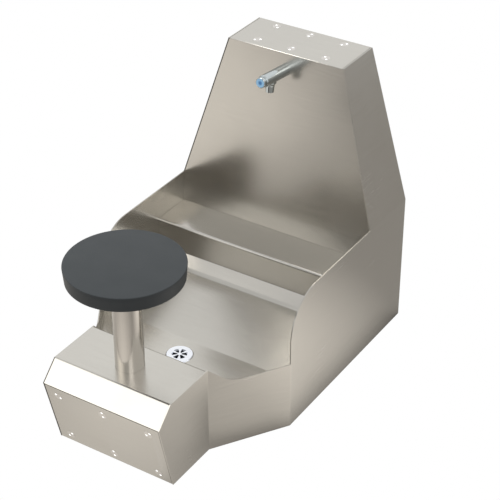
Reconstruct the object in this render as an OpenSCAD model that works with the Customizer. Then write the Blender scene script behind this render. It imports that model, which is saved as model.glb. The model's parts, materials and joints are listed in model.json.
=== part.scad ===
// Foot washing station: a folded and welded sheet steel cabinet that stands on the floor.
// A low pedestal carries a round seat in front of a basin, and a tapering tower behind
// the basin holds a push-button tap. Lengths are in millimetres.
// +X is to the right, +Y to the back, +Z up. The origin is the middle of the footprint.

/* [Cabinet] */
// Width across the two side walls
cabinet_w = 612; // [580:2:650]
// Depth from the foot of the pedestal's front to the back
cabinet_d = 968; // [950:2:1010]
// Height of the side walls beside the basin
wall_h = 391; // [370:1:410]
// Radius of the rounded front corner of each side wall
corner_r = 120; // [80:1:140]
// Thickness of the steel sheet
sheet = 3; // [2:0.5:3.5]
// Inside radius of a fold in the sheet
fold_r = 4; // [2:0.5:6]
// Width of the return flanges along the back and the bottom
flange_w = 32; // [28:1:36]

/* [Pedestal] */
// Width of the pedestal
pedestal_w = 360; // [330:2:400]
// Depth of the pedestal's flat top
pedestal_d = 162; // [154:1:180]
// Height of the pedestal
pedestal_h = 257; // [250:1:275]
// How far the front leans out above its foot
front_lean = 51; // [40:1:60]
// Height of the slanted strip between the front and the top
chamfer_h = 49; // [40:1:60]
// Depth over which the sides flare out to the full width
flare_d = 196; // [180:1:215]
// Height of the rim on the flared sides
rim_h = 202; // [195:1:220]
// Radius of the curve that leads from the pedestal down to the rim
dip_r = 70; // [50:1:80]

/* [Basin] */
// Height of the flat floor round the drain
floor_h = 152; // [150:1:165]
// Depth from the floor's back crease to the riser
slope_d = 271; // [255:1:285]
// Rise of the sloping floor up to the foot of the cove
slope_rise = 31; // [20:1:36]
// Depth and height of the cove strip at the riser's foot
cove_d = 31; // [24:1:36]
// Radius of the bend between the sloping floor and the cove strip
cove_r = 25; // [10:1:30]
// Radius of the soft crease at the back of the flat floor
crease_r = 60; // [20:1:80]
// Height of the foot ledge
ledge_h = 299; // [285:1:310]

/* [Tower] */
// Height of the tower
tower_h = 823; // [780:1:860]
// Width of the tower's top
tower_w = 359; // [330:1:390]
// Depth of the tower's top
tower_top_d = 155; // [145:1:165]
// Depth of the tower where it leaves the side walls
tower_foot_d = 202; // [190:1:215]

/* [Seat] */
// Diameter of the seat
seat_d = 305; // [280:1:330]
// Thickness of the seat
seat_t = 40; // [30:1:45]
// Height of the seat's top
seat_h = 564; // [500:1:600]
// Distance of the seat's axis behind the foot of the pedestal's front
seat_y = 79; // [74:1:84]
// Slope of the seat's side, in degrees
seat_draft = 5; // [0:0.5:8]
// Radius of the seat's top edge
seat_edge_r = 2.5; // [1:0.5:4]
// Diameter of the seat post
post_d = 76; // [60:1:80]
// Wall of the seat post
post_wall = 3; // [2:0.5:5]
// Diameter of the plate under the seat
seat_plate_d = 190; // [170:1:210]
// Thickness of the plates above and below the post
plate_t = 6; // [4:0.5:8]

/* [Tap] */
// Distance of the tap's hole below the top of the tower
tap_drop = 49.5; // [45:0.5:60]
// Reach of the tap from the tower's face to the front of its button
tap_reach = 119; // [112:1:128]
// Diameter of the tap's body
tap_d = 33.5; // [32.5:0.5:36]
// Diameter of the tap's shank behind the tower's face
shank_d = 21; // [19:0.5:22]
// Diameter of the button
button_d = 28.5; // [26:0.5:28.5]
// Diameter of the index disc in the button
index_d = 24; // [18:0.5:24.5]
// Travel of the button
button_travel = 7; // [5:0.5:8]
// Distance of the outlet's lip below the tap's axis
outlet_drop = 40; // [36:1:44]
// Distance of the outlet's axis from the tower's face
outlet_at = 66.5; // [62:0.5:72]
// Diameter of the outlet below its root
outlet_d = 24; // [22:0.5:25]

/* [Drain] */
// Diameter of the drain's flange
drain_d = 75; // [70:1:80]
// Distance of the drain's axis behind the pedestal
drain_back = 131; // [124:1:134]
// Outside diameter of the waste pipe
waste_d = 38; // [36:0.5:40]
// Wall of the waste pipe
waste_wall = 2; // [1.5:0.5:3]
// Number of slots in the grate
slot_count = 6; // [5:1:8]

/* [Supply] */
// Outside diameter of the supply tube
tube_d = 12.7; // [10:0.1:14]
// Height of the stop valve's axis
valve_h = 420; // [400:1:460]
// Outside diameter of the inlet nipple
nipple_d = 21.3; // [18:0.1:22]

/* [Fasteners] */
// Diameter of a panel screw's flush head
head_d = 25; // [24:0.5:27]
// Thread diameter of a panel screw
screw_d = 8; // [6:0.5:8]
// Length of a panel screw
screw_len = 20; // [18:0.5:22]
// Distance between the two driver holes in a panel screw
driver_pitch = 15.5; // [13:0.5:16]
// Diameter of a driver hole
driver_d = 6; // [4:0.5:6.5]
// Distance of the front panel's outer screws from the pedestal's side
front_screw_side = 40; // [34:1:50]
// Distance of the front panel's lower screws from the floor, along the panel
front_screw_low = 26; // [24:1:30]
// Distance of the front panel's upper screws from the panel's top
front_screw_top = 29; // [26:1:34]
// Distance of the top panel's outer screws from the tower's side
top_screw_side = 73; // [60:1:80]
// Distance of the top panel's front screws from the front edge
top_screw_front = 32; // [30:1:36]
// Distance of the top panel's back screws from the back edge
top_screw_back = 24; // [22:1:28]
// Diameter of the anchor holes in the rails and flanges
anchor_d = 11; // [9:0.5:12]

/* [Hidden] */
$fn = 64;

// Clearances
cut = 2;            // overrun of every cut
reveal = 1.2;       // gap round a screwed panel
fit = 0.2;          // radial gap between a fixed pin and its hole
slide_fit = 0.08;   // radial gap between a moving shaft and its bore
seat_gap = 0.1;     // gap under a screw head or a nut

// Sheet outlines, seen from the side. The foot line is the front edge of the footprint.
side_x = cabinet_w / 2;
pedestal_x = pedestal_w / 2;
tower_x = tower_w / 2;
seat_overhang = seat_d / 2 - seat_y;
front_reach = max(front_lean, seat_overhang);
foot_y = (front_reach - cabinet_d) / 2;
back_y = foot_y + cabinet_d;
nose_y = foot_y - front_lean;
nose_h = pedestal_h - chamfer_h;
bend_y = foot_y + pedestal_d;
flare_y = bend_y + flare_d;
riser_y = flare_y + slope_d;
cove_h = floor_h + slope_rise;
tower_foot_y = back_y - tower_foot_d;
tower_top_y = back_y - tower_top_d;
face_lean = atan((tower_top_y - tower_foot_y) / (tower_h - wall_h));
front_angle = atan(front_lean / nose_h);
chamfer_angle = atan(chamfer_h / front_lean);
face_len = norm([front_lean, nose_h]);
dip_angle = 45;
dip_y = bend_y + (pedestal_h - rim_h) / tan(dip_angle) + dip_r * tan(dip_angle / 2);

function face_y(z) = tower_foot_y + (z - wall_h) * tan(face_lean);

// Plane geometry of folded sheet. A path runs along the face that shows, with the
// thickness of the sheet on its left.
function left_of(v) = [-v.y, v.x];
function unit(v) = v / norm(v);
function backwards(list) = [for (i = [len(list) - 1 : -1 : 0]) list[i]];
function mirrored(list) = [for (p = backwards(list)) [-p.x, p.y]];
function arc(c, r, from, to, n) =
    [for (k = [0 : n]) c + r * [cos(from + (to - from) * k / n), sin(from + (to - from) * k / n)]];

function mitre(path, off) = [
    for (i = [0 : len(path) - 1])
        let (a = unit(path[max(i, 1)] - path[max(i, 1) - 1]),
             j = min(i, len(path) - 2),
             b = unit(path[j + 1] - path[j]))
        path[i] + off * (left_of(a) + left_of(b)) / (1 + a * b)
];

// One face of a folded sheet: off = 0 is the face that shows, off = sheet the other one.
// radii is the inside fold radius, or a list with one radius for each point of the path.
function fold_side(path, radii, off) = [
    for (i = [0 : len(path) - 1]) each
        (i == 0) ? [path[0] + off * left_of(unit(path[1] - path[0]))]
        : (i == len(path) - 1) ? [path[i] + off * left_of(unit(path[i] - path[i - 1]))]
        : let (a = unit(path[i] - path[i - 1]),
               b = unit(path[i + 1] - path[i]),
               side = sign(cross(a, b)),
               turn = acos(min(1, a * b)),
               inner = is_list(radii) ? radii[i] : radii,
               r = side > 0 ? inner + sheet : inner,
               c = path[i] - r * tan(turn / 2) * a + side * r * left_of(a),
               start = atan2(a.y, a.x) - side * 90)
          arc(c, r - side * off, start, start + side * turn, ceil(turn / 15) + 1)
];
function folded(path, radii) =
    concat(fold_side(path, radii, 0), backwards(fold_side(path, radii, sheet)));

// Extrusions along the axes. along_x takes its outline in Y and Z, along_y in X and Z.
module along_x(w) rotate([90, 0, 90]) linear_extrude(w, center = true) children();
module along_y(from, to) translate([0, to, 0]) rotate([90, 0, 0]) linear_extrude(to - from) children();

// Rings, tubes and hexagons
module ring(h, outer_r, inner_r) difference() {
    cylinder(h = h, r = outer_r);
    translate([0, 0, -cut]) cylinder(h = h + 2 * cut, r = inner_r);
}
module hex_ring(h, flats, inner_r) difference() {
    cylinder(h = h, d = flats / cos(30), $fn = 6);
    translate([0, 0, -cut]) cylinder(h = h + 2 * cut, r = inner_r);
}
module bent_rod(bend_radius, r, angle)
    rotate_extrude(angle = angle) translate([bend_radius, 0]) circle(r);

// The outline of the cabinet from the side
module side_profile() polygon(concat(
    [[foot_y, 0], [nose_y, nose_h], [foot_y, pedestal_h], [bend_y, pedestal_h]],
    arc([dip_y, rim_h + dip_r], dip_r, 270 - dip_angle, 270, 8),
    [[flare_y, rim_h], [flare_y, wall_h - corner_r]],
    arc([flare_y + corner_r, wall_h - corner_r], corner_r, 180, 90, 24),
    [[tower_foot_y, wall_h], [tower_top_y, tower_h], [back_y, tower_h], [back_y, 0]]
));

// The right wall in plan, and the same wall seen from the front, carried past its ends
side_plan = [[pedestal_x, nose_y - cut], [pedestal_x, bend_y], [side_x, flare_y], [side_x, back_y]];
side_front = [[side_x, 0], [side_x, wall_h],
    [tower_x, tower_h] + cut * unit([tower_x - side_x, tower_h - wall_h])];

// The room between the side sheets, less a gap
module inside(gap) intersection() {
    linear_extrude(tower_h) polygon(concat(
        fold_side(side_plan, fold_r, sheet + gap),
        mirrored(fold_side(side_plan, fold_r, sheet + gap))));
    along_y(nose_y - cut, back_y) polygon(concat(
        mitre(side_front, sheet + gap), mirrored(mitre(side_front, sheet + gap))));
}

// A folded piece that runs across the cabinet and butts against both side sheets
module crosspiece(path, radii = fold_r) intersection() {
    along_x(cabinet_w) polygon(folded(path, radii));
    inside(0);
}

// Floor anchor holes in the bottom flanges
floor_anchor_x = side_x - flange_w / 2 - sheet / 2;
floor_anchor_front = flare_y + 2 * flange_w;
floor_anchor_back = back_y - 4 * flange_w;
sill_d = sheet + flange_w;

module side_sheet() difference() {
    intersection() {
        union() {
            linear_extrude(wall_h) polygon(folded(side_plan, fold_r));
            let (outer = mitre(side_front, 0), inner = mitre(side_front, sheet))
                along_y(nose_y, back_y) polygon([outer[1], outer[2], inner[2], inner[1]]);
            back_flange();
            bottom_flange();
        }
        along_x(2 * cabinet_w) side_profile();
    }
    for (y = [floor_anchor_front, floor_anchor_back])
        translate([floor_anchor_x, y, -cut]) cylinder(h = sheet + 2 * cut, d = anchor_d);
}

// The return flange along the back ends below the top panel
module back_flange() intersection() {
    along_y(back_y - sheet, back_y) polygon(concat(
        mitre(side_front, 0), backwards(mitre(side_front, flange_w))));
    translate([0, nose_y, 0]) cube([cabinet_w, 2 * cabinet_d, tower_h - sheet]);
}

module bottom_flange() intersection() {
    linear_extrude(sheet) polygon(concat(
        mitre(side_plan, sheet / 2), backwards(mitre(side_plan, flange_w))));
    translate([0, foot_y + sill_d + reveal, 0])
        cube([cabinet_w, cabinet_d - 2 * sill_d - sheet - 2 * reveal, sheet]);
}

module right_side_sheet() color("#a8a297") side_sheet();
module left_side_sheet() color("#a8a297") mirror([1, 0, 0]) side_sheet();

// Pedestal
cover_path = [[bend_y, floor_h - sheet], [bend_y, pedestal_h], [foot_y, pedestal_h], [nose_y, nose_h]];
axis_y = foot_y + seat_y;

module pedestal_cover() color("#c9c4ba") difference() {
    crosspiece(cover_path);
    translate([0, axis_y, pedestal_h - sheet - cut]) cylinder(h = sheet + 2 * cut, d = post_d + 2 * fit);
}

// The front's own frame: X across, Y up along the leaning face, Z out of it
module on_front() translate([0, foot_y, 0]) rotate([90 + front_angle, 0, 0]) children();
nose_gap = sheet * cos(chamfer_angle - front_angle) + reveal;
panel_top = face_len - nose_gap;
rail_w = front_screw_top + head_d;
sill_h = front_screw_low + head_d;
front_rows = [front_screw_low, panel_top - front_screw_top];
front_columns = [-1, 0, 1] * (pedestal_x - front_screw_side);
front_turns = [[47, -86, -53], [-33, -86, 43]];

module front_screw_places() for (row = [0 : 1], column = [0 : 2])
    translate([front_columns[column], front_rows[row], 0]) rotate(front_turns[row][column]) children();

module front_access_panel() color("#a59f94") difference() {
    intersection() {
        on_front() translate([-pedestal_x, reveal, -sheet]) cube([pedestal_w, panel_top - reveal, sheet]);
        inside(reveal);
    }
    on_front() front_screw_places() screw_seat();
}

module front_top_rail() color("#8f897f") difference() {
    intersection() {
        on_front() translate([-pedestal_x, face_len - rail_w, -2 * sheet])
            cube([pedestal_w, rail_w + nose_gap, sheet]);
        along_x(pedestal_w) polygon(concat(
            fold_side(cover_path, fold_r, sheet), [[foot_y, 0], [bend_y - sheet, 0]]));
        inside(0);
    }
    on_front() front_screw_places() screw_bore();
}

sill_foot = foot_y + sheet / cos(front_angle);
sill_path = [[sill_foot - sill_h * sin(front_angle), sill_h * cos(front_angle)],
    [sill_foot, 0], [sill_foot + flange_w, 0]];
module front_sill() color("#8f897f") difference() {
    crosspiece(sill_path);
    on_front() front_screw_places() screw_bore();
}

// Flush screws with two driver holes. Their frame has Z out of the panel, with its face at 0.
insert_r = screw_d / 2 + 2 * sheet / 3;
insert_len = screw_len - 2 * sheet;
module screw_seat() translate([0, 0, -sheet - cut])
    cylinder(h = sheet + 2 * cut, r1 = head_d / 2 - sheet - cut, r2 = head_d / 2 + cut);
module screw_bore() translate([0, 0, -2 * sheet - cut]) cylinder(h = sheet + 2 * cut, r = insert_r + fit);
module flush_screw() difference() {
    union() {
        translate([0, 0, -sheet + seat_gap]) cylinder(h = sheet - seat_gap,
            r1 = head_d / 2 - sheet - seat_gap, r2 = head_d / 2 - 2 * seat_gap);
        translate([0, 0, -screw_len]) cylinder(h = screw_len - sheet / 2, d = screw_d);
    }
    for (side = [-1, 1]) translate([side * driver_pitch / 2, 0, -sheet / 3])
        cylinder(h = sheet, d = driver_d);
}
module nut_insert() translate([0, 0, -sheet - seat_gap - insert_len])
    ring(insert_len, insert_r, screw_d / 2 + slide_fit);
module insert_collar() translate([0, 0, -2 * sheet - insert_len / 2])
    ring(insert_len / 2, insert_r + sheet / 2, screw_d / 2 + slide_fit);

module front_panel_screws() color("#b5b0a6") on_front() front_screw_places() flush_screw();
module front_nut_inserts() color("#c8b27a") on_front() front_screw_places() {
    nut_insert();
    insert_collar();
}

// Basin
cove_slope = 45;
cove_top = cove_h + cove_d * tan(cove_slope);
pan_path = [[riser_y + cut, cove_top + cut * tan(cove_slope)], [riser_y - cove_d, cove_h],
    [flare_y, floor_h], [bend_y, floor_h]];
drain_y = bend_y + drain_back;

module basin_pan() color("#b9b3a8") difference() {
    intersection() {
        crosspiece(pan_path, [0, cove_r, crease_r, 0]);
        translate([-side_x, bend_y, 0]) cube([cabinet_w, riser_y - bend_y, tower_h]);
    }
    translate([0, drain_y, floor_h - sheet - cut]) cylinder(h = sheet + 2 * cut, r = drain_hole_r + fit);
}

// A channel under the sloping floor, between the side sheets
slope_angle = atan(slope_rise / (slope_d - cove_d));
channel_w = 50;
channel_y = flare_y + slope_d / 2;
function under_slope(y) = floor_h + (y - flare_y) * tan(slope_angle) - sheet / cos(slope_angle);
module basin_support_channel() color("#8f897f") crosspiece([
    [channel_y + channel_w / 2, under_slope(channel_y) - channel_w],
    [channel_y + channel_w / 2, under_slope(channel_y + channel_w / 2)],
    [channel_y - channel_w / 2, under_slope(channel_y - channel_w / 2)],
    [channel_y - channel_w / 2, under_slope(channel_y) - channel_w]]);

// Foot ledge: a flat top, a riser down to the cove and a lip behind the tower's face
ledge_back = face_y(ledge_h) + sheet / cos(face_lean) + flange_w / 2;
ledge_path = [[ledge_back, ledge_h - flange_w], [ledge_back, ledge_h], [riser_y, ledge_h],
    [riser_y, cove_top - 3 * sheet]];
module foot_ledge() color("#aaa59e") crosspiece(ledge_path);

ledge_mid = (riser_y + ledge_back) / 2;
module ledge_channel() color("#8f897f") crosspiece([
    [ledge_mid + channel_w / 2, ledge_h - sheet - channel_w / 2],
    [ledge_mid + channel_w / 2, ledge_h - sheet],
    [ledge_mid - channel_w / 2, ledge_h - sheet],
    [ledge_mid - channel_w / 2, ledge_h - sheet - channel_w / 2]]);

// Tower
face_path = [[face_y(0), 0], [face_y(tower_h + cut), tower_h + cut]];
tap_h = tower_h - tap_drop;
shank_r = shank_d / 2;
module on_face() translate([0, face_y(tap_h), tap_h]) rotate([90 - face_lean, 0, 0]) children();

module behind_face() polygon([
    [face_y(0) + sheet / cos(face_lean), 0],
    [face_y(tower_h) + sheet / cos(face_lean), tower_h],
    [back_y - sheet, tower_h], [back_y - sheet, 0]]);

module tower_front_panel() color("#9d978c") difference() {
    intersection() {
        along_x(cabinet_w) polygon(concat(backwards(mitre(face_path, 0)), mitre(face_path, -sheet)));
        translate([-side_x, foot_y, ledge_h]) cube([cabinet_w, cabinet_d, tower_h - sheet - ledge_h]);
        inside(0);
    }
    on_face() translate([0, 0, -sheet - cut]) cylinder(h = sheet + 2 * cut, r = shank_r + fit);
}

module top_screw_places() let (columns = [-1, 0, 1] * (tower_x - top_screw_side),
    rows = [tower_top_y + top_screw_front, back_y - top_screw_back],
    turns = [[39, 85, -49], [-50, 87, 55]])
    for (row = [0 : 1], column = [0 : 2])
        translate([columns[column], rows[row], tower_h]) rotate(turns[row][column]) children();

module top_access_panel() color("#b0aaa0") difference() {
    intersection() {
        translate([-tower_x, nose_y, tower_h - sheet]) cube([tower_w, 2 * cabinet_d, sheet]);
        along_x(cabinet_w) side_profile();
        inside(reveal);
    }
    top_screw_places() screw_seat();
}

frame_w = top_screw_front + head_d / 2;
module tower_top_frame() color("#8f897f") difference() {
    intersection() {
        translate([-side_x, foot_y, tower_h - 2 * sheet]) cube([cabinet_w, cabinet_d, sheet]);
        along_x(cabinet_w) behind_face();
        inside(0);
    }
    translate([-tower_x + top_screw_side - head_d, tower_top_y + frame_w, tower_h - 2 * sheet - cut])
        cube([tower_w - 2 * (top_screw_side - head_d), tower_top_d - frame_w - top_screw_back - head_d,
            sheet + 2 * cut]);
    top_screw_places() screw_bore();
}
module top_panel_screws() color("#b5b0a6") top_screw_places() flush_screw();
module top_nut_inserts() color("#c8b27a") top_screw_places() {
    nut_insert();
    insert_collar();
}

// Rails across the back, in front of the return flanges, with the wall anchor holes
wall_anchor_x = tower_x - top_screw_side;
rail_back = back_y - sheet;
top_rail_top = tower_h - 3 * sheet - screw_len;
top_rail_h = 50;
bottom_rail_h = 60;
wall_anchor_top = top_rail_top - top_rail_h / 2;
wall_anchor_low = 2 * bottom_rail_h / 3;

module wall_holes(z) for (side = [-1, 1]) translate([side * wall_anchor_x, back_y, z])
    rotate([90, 0, 0]) cylinder(h = 2 * sheet + cut, d = anchor_d);

module back_top_rail() color("#8f897f") difference() {
    crosspiece([[rail_back - flange_w / 2, top_rail_top - top_rail_h],
        [rail_back, top_rail_top - top_rail_h], [rail_back, top_rail_top]]);
    wall_holes(wall_anchor_top);
}
module back_bottom_rail() color("#8f897f") difference() {
    crosspiece([[rail_back - flange_w, 0], [rail_back, 0], [rail_back, bottom_rail_h]]);
    wall_holes(wall_anchor_low);
}
// The bracket stands forward of the back, so that the inlet's end can be reached behind it
bracket_y = back_y - 5 * flange_w / 4;
module supply_bracket() color("#8f897f") difference() {
    crosspiece([[bracket_y - flange_w / 2, valve_h - flange_w],
        [bracket_y, valve_h - flange_w], [bracket_y, valve_h + flange_w]]);
    translate([0, bracket_y + cut, valve_h]) rotate([90, 0, 0])
        cylinder(h = sheet + 2 * cut, d = nipple_d + 2 * fit);
}

// Seat
seat_r = seat_d / 2;
seat_screw_d = 6;
seat_screw_ring = seat_plate_d / 2 - 2 * seat_screw_d;
seat_under = seat_h - seat_t;
post_top = seat_under - plate_t;
post_foot = pedestal_h - sheet;

module seat_screw_places() for (turn = [45 : 90 : 315])
    translate([0, axis_y, 0]) rotate(turn) translate([seat_screw_ring, 0, 0]) children();

module seat_disc() color("#454c51") difference() {
    translate([0, axis_y, 0]) rotate_extrude($fn = 96) polygon(concat(
        [[0, seat_under], [seat_r - (seat_t - seat_edge_r) * tan(seat_draft), seat_under]],
        arc([seat_r - seat_edge_r, seat_h - seat_edge_r], seat_edge_r, 0, 90, 5),
        [[0, seat_h]]));
    seat_screw_places() translate([0, 0, seat_under - cut])
        cylinder(h = seat_t / 2 + cut, d = seat_screw_d + 2 * fit);
}
module seat_plate() color("#8f897f") difference() {
    translate([0, axis_y, post_top]) cylinder(h = plate_t, d = seat_plate_d);
    seat_screw_places() translate([0, 0, post_top - cut])
        cylinder(h = plate_t + 2 * cut, d = seat_screw_d + 2 * fit);
}
module seat_screws() color("#b5b0a6") seat_screw_places() {
    translate([0, 0, post_top - seat_gap - seat_screw_d / 2])
        cylinder(h = seat_screw_d / 2, d = 2 * seat_screw_d);
    translate([0, 0, post_top - seat_gap - cut / 2])
        cylinder(h = plate_t + seat_t / 2 - cut, d = seat_screw_d);
}
module seat_post() color("#a9a296") translate([0, axis_y, post_foot])
    ring(post_top - post_foot, post_d / 2, post_d / 2 - post_wall);

base_plate_w = 2 * post_d;
base_plate_d = 3 * post_d / 2;
bolt_d = 10;
module bolt_places() for (x = [-1, 1], y = [-1, 1])
    translate([x * (base_plate_w / 2 - bolt_d), axis_y + y * channel_w / 4, 0]) children();

module post_base_plate() color("#8f897f") difference() {
    translate([-base_plate_w / 2, axis_y - base_plate_d / 2, post_foot - plate_t])
        cube([base_plate_w, base_plate_d, plate_t]);
    bolt_places() translate([0, 0, post_foot - plate_t - cut])
        cylinder(h = plate_t + 2 * cut, d = bolt_d + 2 * fit);
}
channel_top = post_foot - plate_t;
module pedestal_channel() color("#8f897f") difference() {
    crosspiece([[axis_y + channel_w / 2 + bolt_d / 2, channel_top - channel_w],
        [axis_y + channel_w / 2 + bolt_d / 2, channel_top],
        [axis_y - channel_w / 2 - bolt_d / 2, channel_top],
        [axis_y - channel_w / 2 - bolt_d / 2, channel_top - channel_w]]);
    bolt_places() translate([0, 0, channel_top - sheet - cut])
        cylinder(h = sheet + 2 * cut, d = bolt_d + 2 * fit);
}
// Bolts pressed in from above, flush with the plate, with a nut under the channel
module post_plate_bolts() color("#b5b0a6") bolt_places() {
    translate([0, 0, channel_top - 2 * sheet - bolt_d])
        cylinder(h = plate_t + 2 * sheet + bolt_d - seat_gap, d = bolt_d);
    translate([0, 0, channel_top - sheet - seat_gap - 4 * bolt_d / 5])
        cylinder(h = 4 * bolt_d / 5, d = 8 * bolt_d / 5 / cos(30), $fn = 6);
}

// Drain: a slotted flange on top of the floor, drawn against a body below it by one screw
drain_flange_t = 2.5;
drain_skirt = 12;
drain_wall = 2;
drain_depth = 40;
waste_shoulder = 5;
drain_thread_r = waste_d / 2 + waste_shoulder;
drain_hole_r = drain_thread_r - drain_wall - slide_fit;
drain_foot = floor_h - drain_depth;
gasket_t = 3;
body_flange_t = 4;
hub_r = 6;
crossbar_w = 9;
crossbar_h = 8;
drain_screw_d = 6;
drain_screw_head = 3 * drain_screw_d / 2;
drain_screw_len = 26;
slot_rim_r = 2 * drain_d / 7;
slot_share = 0.62;
drain_top = floor_h + drain_flange_t;
body_top = floor_h - sheet - gasket_t;

module at_drain(z) translate([0, drain_y, z]) children();

// Wedge slots between a hub and a rim, all alike
module grate_slots() difference() {
    intersection() {
        circle(slot_rim_r);
        for (k = [1 : slot_count]) rotate(360 * (k - 1 / 2) / slot_count)
            polygon(2 * slot_rim_r * [[0, 0], [1, -tan(180 * slot_share / slot_count)],
                [1, tan(180 * slot_share / slot_count)]]);
    }
    circle(hub_r);
}
module drain_flange() color("#e6e8ea") at_drain(floor_h) difference() {
    union() {
        cylinder(h = drain_flange_t, r1 = drain_d / 2, r2 = drain_d / 2 - drain_flange_t);
        translate([0, 0, -drain_skirt])
            ring(drain_skirt + seat_gap, drain_hole_r, drain_hole_r - drain_wall);
    }
    translate([0, 0, -seat_gap]) linear_extrude(drain_flange_t + cut) grate_slots();
    translate([0, 0, -cut]) cylinder(h = drain_flange_t + 2 * cut, d = drain_screw_d + 2 * fit);
    translate([0, 0, drain_flange_t - drain_screw_d / 4 - seat_gap])
        cylinder(h = drain_screw_d / 4 + cut, d = drain_screw_head + 2 * fit);
}
module drain_screw() color("#d9dcde") at_drain(drain_top - drain_screw_d / 4) difference() {
    union() {
        cylinder(h = drain_screw_d / 4 - seat_gap, d = drain_screw_head);
        translate([0, 0, -drain_screw_len]) cylinder(h = drain_screw_len + seat_gap, d = drain_screw_d);
    }
    translate([-drain_screw_head, -drain_screw_d / 8, drain_screw_d / 8])
        cube([2 * drain_screw_head, drain_screw_d / 4, drain_screw_d]);
}
module drain_gasket() color("#2c2c2c") at_drain(body_top)
    ring(gasket_t, drain_d / 2 - gasket_t, drain_hole_r + fit);

module drain_body() color("#3b3d40") at_drain(0) difference() {
    union() {
        translate([0, 0, body_top - body_flange_t])
            ring(body_flange_t, drain_d / 2 - gasket_t / 2, drain_hole_r + fit);
        translate([0, 0, drain_foot])
            ring(body_top - body_flange_t - drain_foot, drain_thread_r, waste_d / 2);
        translate([0, 0, body_top - 2 * body_flange_t - drain_skirt])
            ring(body_flange_t + drain_skirt, drain_thread_r + drain_wall, drain_thread_r - drain_wall / 2);
        translate([-drain_thread_r + drain_wall, -crossbar_w / 2, drain_foot + drain_skirt])
            cube([2 * (drain_thread_r - drain_wall), crossbar_w, crossbar_h]);
    }
    translate([0, 0, body_top - drain_skirt]) cylinder(h = drain_skirt, r = drain_hole_r + fit);
    translate([0, 0, drain_foot]) cylinder(h = floor_h, d = drain_screw_d + 2 * slide_fit);
}

// Waste: a tailpiece under the drain, a trap with a half-turn bend, and an arm to the back
waste_r = waste_d / 2;
waste_in = waste_r - waste_wall;
tail_flange_t = 3;
nut_wall = 4;
slip_nut_h = 10;
socket_wall = 3;
socket_h = 14;
trap_bend = 40;
trap_lift = 6;
trap_leg = waste_r + trap_bend + trap_lift;
socket_top = trap_leg + socket_h;
elbow_bend = 30;
arm_z = trap_leg + elbow_bend;
arm_start = drain_y + 2 * trap_bend + elbow_bend;

module tailpiece() color("#d5d7d9") at_drain(0) {
    translate([0, 0, drain_foot - tail_flange_t]) ring(tail_flange_t, drain_thread_r, waste_in);
    translate([0, 0, trap_leg + seat_gap])
        ring(drain_foot - tail_flange_t - trap_leg - seat_gap, waste_r, waste_in);
}
module tailpiece_nut() color("#c9cccf") at_drain(drain_foot - 2 * tail_flange_t) difference() {
    cylinder(h = 4 * tail_flange_t, r = drain_thread_r + nut_wall);
    translate([0, 0, -cut]) cylinder(h = 4 * tail_flange_t + 2 * cut, r = waste_r + fit);
    translate([0, 0, tail_flange_t - seat_gap])
        cylinder(h = 4 * tail_flange_t, r = drain_thread_r + slide_fit);
}

// The run of the trap: down, round the half turn and over into the arm
module trap_run(r) {
    translate([0, drain_y + trap_bend, trap_leg]) rotate([90, 0, 90]) rotate(180)
        bent_rod(trap_bend, r, 180);
    translate([0, arm_start, trap_leg]) rotate([90, 0, 90]) rotate(90) bent_rod(elbow_bend, r, 90);
}
module at_arm(y) translate([0, y, arm_z]) rotate([-90, 0, 0]) children();
module p_trap() color("#d5d7d9") difference() {
    union() {
        trap_run(waste_r);
        at_drain(trap_leg - socket_wall)
            cylinder(h = socket_h + socket_wall, r = waste_r + socket_wall);
        at_arm(arm_start - socket_wall)
            cylinder(h = socket_h + socket_wall, r = waste_r + socket_wall);
    }
    trap_run(waste_in);
    at_drain(trap_leg) cylinder(h = socket_h + cut, r = waste_r + fit);
    at_arm(arm_start) cylinder(h = socket_h + cut, r = waste_r + fit);
}
module slip_nut() hex_ring(slip_nut_h, 2 * (waste_r + socket_wall + nut_wall), waste_r + slide_fit);
module trap_nuts() color("#c9cccf") {
    at_drain(socket_top) slip_nut();
    at_arm(arm_start + socket_h) slip_nut();
}
arm_end = 60;
arm_bead = 1.5;
module waste_arm() color("#d5d7d9") {
    at_arm(arm_start + seat_gap) ring(back_y - arm_start - seat_gap, waste_r, waste_in);
    at_arm(back_y - arm_end - 2 * arm_bead) ring(2 * arm_bead, waste_r + arm_bead, waste_r - arm_bead / 2);
}

// Tap. Its frame has Z out of the tower's face, with the face at 0, and Y up.
tap_r = tap_d / 2;
shank_len = 42;
button_proud = 3;
collar_t = 5;
collar_in = 8;
head_front = tap_reach - button_proud - button_travel - collar_t;
button_r = button_d / 2;
collar_wall = 1.1;
bore_r = button_r + collar_wall + 2 * slide_fit;
cartridge_r = 12;
cartridge_rim = 3;
cartridge_len = 34;
spring_room = 15;
cartridge_front = head_front - collar_in - spring_room;
cartridge_back = cartridge_front - cartridge_len;
passage_r = shank_r / 2;
outlet_r = outlet_d / 2;
outlet_taper = 1;
outlet_wall = 2;
outlet_straight = 16;
outlet_bend_r = 14;
nozzle_h = 9;
nozzle_r = outlet_r - outlet_taper - outlet_wall;

// The outlet's outline, as radius and depth below the tap's axis, with a curved root
outlet_outline = concat([[0, 0], [outlet_r + outlet_bend_r * (1 - cos(45)), 0]],
    arc([outlet_r + outlet_bend_r, outlet_drop - outlet_straight], outlet_bend_r, 225, 180, 5),
    [[outlet_r - outlet_taper, outlet_drop], [0, outlet_drop]]);

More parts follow.
